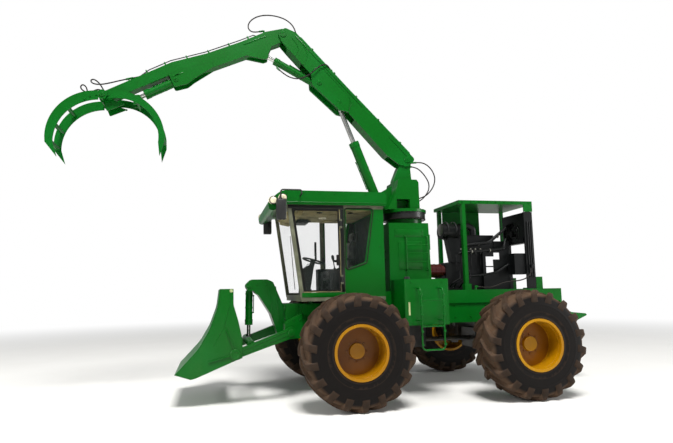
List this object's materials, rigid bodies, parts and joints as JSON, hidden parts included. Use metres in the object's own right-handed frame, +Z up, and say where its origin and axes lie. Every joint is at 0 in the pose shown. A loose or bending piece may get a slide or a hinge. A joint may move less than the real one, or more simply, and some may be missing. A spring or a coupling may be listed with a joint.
{
  "type": "sugarcane loader",
  "caption": "Self-propelled cane loader with slewing knuckle boom, two-jaw grab, cab, open engine bay and front push blade on large lugged tyres.",
  "frame": {"origin": "on the ground under the middle of the front axle", "axes": "+X forward to the blade and grab, +Y to the left side, +Z up"},
  "size_m": [9.6714, 3.55, 6.9341],
  "materials": {
    "green": "semi-gloss machine enamel",
    "axle_black": "dull black paint, oily",
    "chrome": "polished chrome rod",
    "pillar_grey": "satin grey-beige",
    "glass": "clear, dusty",
    "cloth": "woven dark fabric",
    "black_plastic": "matt moulded",
    "trim_black": "satin black window frame",
    "lamp": "cream lens",
    "engine_black": "black, oily",
    "pump_red": "dark red paint",
    "hose": "matt black",
    "tyre": "dusty rubber",
    "wheel_yellow": "satin amber yellow"
  },
  "bodies": {
    "chassis": {"main_frame": "green", "front_block": "green", "front_arch": "green", "front_axle": "axle_black", "rear_axle": "axle_black", "slew_ring": "axle_black", "cab_floor": "pillar_grey", "cab_frame": "pillar_grey", "cab_shell": "green", "cab_glass": "glass", "cab_roof": "green", "operator_seat": "cloth", "steering_column": "black_plastic", "mirrors": "black_plastic", "roof_lamps": "lamp", "pedestal": "green", "side_tanks": "green", "ladder": "green", "engine": "engine_black", "hydraulic_pump": "pump_red", "air_cleaner": "engine_black", "radiator": "engine_black", "canopy": "green", "drive_line": "axle_black", "engine_hose": "hose"},
    "steer_left": {"knuckle_left": "axle_black"},
    "steer_right": {"knuckle_right": "axle_black"},
    "tie_rod": {"tie_rod": "axle_black"},
    "door": {"cab_door": "trim_black", "door_glass": "glass"},
    "blade": {"push_arms": "green", "blade": "green"},
    "blade_barrel": {"blade_barrel": "green"},
    "blade_rod": {"blade_rod": "chrome"},
    "tower": {"tower": "green", "tower_hose_upper": "hose", "tower_hose_lower": "hose"},
    "boom": {"boom": "green", "reach_hose": "hose"},
    "lift_barrel": {"lift_barrel": "green"},
    "lift_rod": {"lift_rod": "chrome"},
    "stick": {"stick": "green", "elbow_hose": "hose", "grab_hose_inner": "hose", "grab_hose_outer": "hose"},
    "reach_barrel": {"reach_barrel": "green"},
    "reach_rod": {"reach_rod": "chrome"},
    "jaw_front": {"jaw_front": "green"},
    "jaw_rear": {"jaw_rear": "green"},
    "grab_barrel": {"grab_barrel": "green"},
    "grab_rod": {"grab_rod": "chrome"},
    "wheel_front_left": {"tyre_front_left": "tyre", "rim_front_left": "wheel_yellow"},
    "wheel_rear_left": {"tyre_rear_left": "tyre", "rim_rear_left": "wheel_yellow"},
    "wheel_front_right": {"tyre_front_right": "tyre", "rim_front_right": "wheel_yellow"},
    "wheel_rear_right": {"tyre_rear_right": "tyre", "rim_rear_right": "wheel_yellow"}
  },
  "joints": [
    {"name": "wheel_front_left", "type": "hinge", "parent": "chassis", "child": "wheel_front_left", "pos_m": [0, 1.475, 0.865], "axis": [0, 1, 0], "continuous": true},
    {"name": "wheel_front_right", "type": "hinge", "parent": "chassis", "child": "wheel_front_right", "pos_m": [0, -1.475, 0.865], "axis": [0, 1, 0], "continuous": true},
    {"name": "steer_left", "type": "hinge", "parent": "chassis", "child": "steer_left", "pos_m": [-2.88, 1.1, 0.865], "axis": [0, 0, 1], "range_deg": [-28, 28]},
    {"name": "steer_right", "type": "hinge", "parent": "chassis", "child": "steer_right", "pos_m": [-2.88, -1.1, 0.865], "axis": [0, 0, 1], "range_deg": [-28, 28]},
    {"name": "tie_rod_slide", "type": "slide", "parent": "chassis", "child": "tie_rod", "axis": [0, -1, 0], "range_m": [-0.135, 0.135]},
    {"name": "wheel_rear_left", "type": "hinge", "parent": "steer_left", "child": "wheel_rear_left", "pos_m": [-2.88, 1.475, 0.865], "axis": [0, 1, 0], "continuous": true},
    {"name": "wheel_rear_right", "type": "hinge", "parent": "steer_right", "child": "wheel_rear_right", "pos_m": [-2.88, -1.475, 0.865], "axis": [0, 1, 0], "continuous": true},
    {"name": "door_swing", "type": "hinge", "parent": "chassis", "child": "door", "pos_m": [0.02, 0.815, 2.4], "axis": [0, 0, 1], "range_deg": [0, 75]},
    {"name": "blade_lift", "type": "hinge", "parent": "chassis", "child": "blade", "pos_m": [0.86, 0, 1.1], "axis": [0, -1, 0], "range_deg": [-15, 12]},
    {"name": "blade_barrel_swing", "type": "hinge", "parent": "chassis", "child": "blade_barrel", "pos_m": [1.48, 0, 1.86], "axis": [0, -1, 0], "range_deg": [-3.11, 2.51]},
    {"name": "blade_rod_slide", "type": "slide", "parent": "blade_barrel", "child": "blade_rod", "axis": [0.0215, 0, -0.9998], "range_m": [-0.1377, 0.1707]},
    {"name": "slew", "type": "hinge", "parent": "chassis", "child": "tower", "pos_m": [-1.44, 0, 3.2], "axis": [0, 0, 1], "range_deg": [-170, 170]},
    {"name": "boom_lift", "type": "hinge", "parent": "tower", "child": "boom", "pos_m": [-1.51, 0, 4.215], "axis": [0, -1, 0], "range_deg": [-33, 20], "deforming": ["tower_hose_upper", "tower_hose_lower"]},
    {"name": "lift_barrel_swing", "type": "hinge", "parent": "tower", "child": "lift_barrel", "pos_m": [-0.92, 0, 3.44], "axis": [0, -1, 0], "range_deg": [-26.6, 16.45]},
    {"name": "lift_rod_slide", "type": "slide", "parent": "lift_barrel", "child": "lift_rod", "axis": [0.3608, 0, 0.9327], "range_m": [-0.5087, 0.3146]},
    {"name": "stick_reach", "type": "hinge", "parent": "boom", "child": "stick", "pos_m": [0.84025, 0, 6.51011], "axis": [0, -1, 0], "range_deg": [-8, 60], "deforming": ["elbow_hose"]},
    {"name": "reach_barrel_swing", "type": "hinge", "parent": "boom", "child": "reach_barrel", "pos_m": [0.17188, 0, 5.60723], "axis": [0, -1, 0], "range_deg": [-1.67, 10.92], "deforming": ["reach_hose"]},
    {"name": "reach_rod_slide", "type": "slide", "parent": "reach_barrel", "child": "reach_rod", "axis": [0.8858, 0, 0.464], "range_m": [-0.0685, 0.4491]},
    {"name": "grab_close", "type": "hinge", "parent": "stick", "child": "jaw_rear", "pos_m": [3.93002, 0, 5.11048], "axis": [0, -1, 0], "range_deg": [0, 33], "deforming": ["grab_hose_outer"]},
    {"name": "jaw_front_close", "type": "hinge", "parent": "stick", "child": "jaw_front", "pos_m": [3.93002, 0, 5.11048], "axis": [0, 1, 0], "range_deg": [0, 33]},
    {"name": "grab_barrel_swing", "type": "hinge", "parent": "stick", "child": "grab_barrel", "pos_m": [2.74917, 0, 5.51366], "axis": [0, -1, 0], "range_deg": [-16.49, 0.32]},
    {"name": "grab_rod_slide", "type": "slide", "parent": "grab_barrel", "child": "grab_rod", "axis": [0.8833, 0, -0.4687], "range_m": [-0.0041, 0.2081]}
  ],
  "couplings": [
    {"joint": "blade_barrel_swing", "follows": "blade_lift", "ratio": 0.2},
    {"joint": "blade_rod_slide", "follows": "blade_lift", "m_per_rad": -0.6293},
    {"joint": "lift_barrel_swing", "follows": "boom_lift", "ratio": 0.781},
    {"joint": "lift_rod_slide", "follows": "boom_lift", "m_per_rad": 0.8558},
    {"joint": "reach_barrel_swing", "follows": "stick_reach", "ratio": 0.178},
    {"joint": "reach_rod_slide", "follows": "stick_reach", "m_per_rad": 0.4194},
    {"joint": "jaw_front_close", "follows": "grab_close", "ratio": 1},
    {"joint": "grab_barrel_swing", "follows": "grab_close", "ratio": -0.49},
    {"joint": "grab_rod_slide", "follows": "grab_close", "m_per_rad": 0.3543},
    {"joint": "steer_right", "follows": "steer_left", "ratio": 1},
    {"joint": "tie_rod_slide", "follows": "steer_left", "m_per_rad": 0.2592}
  ]
}
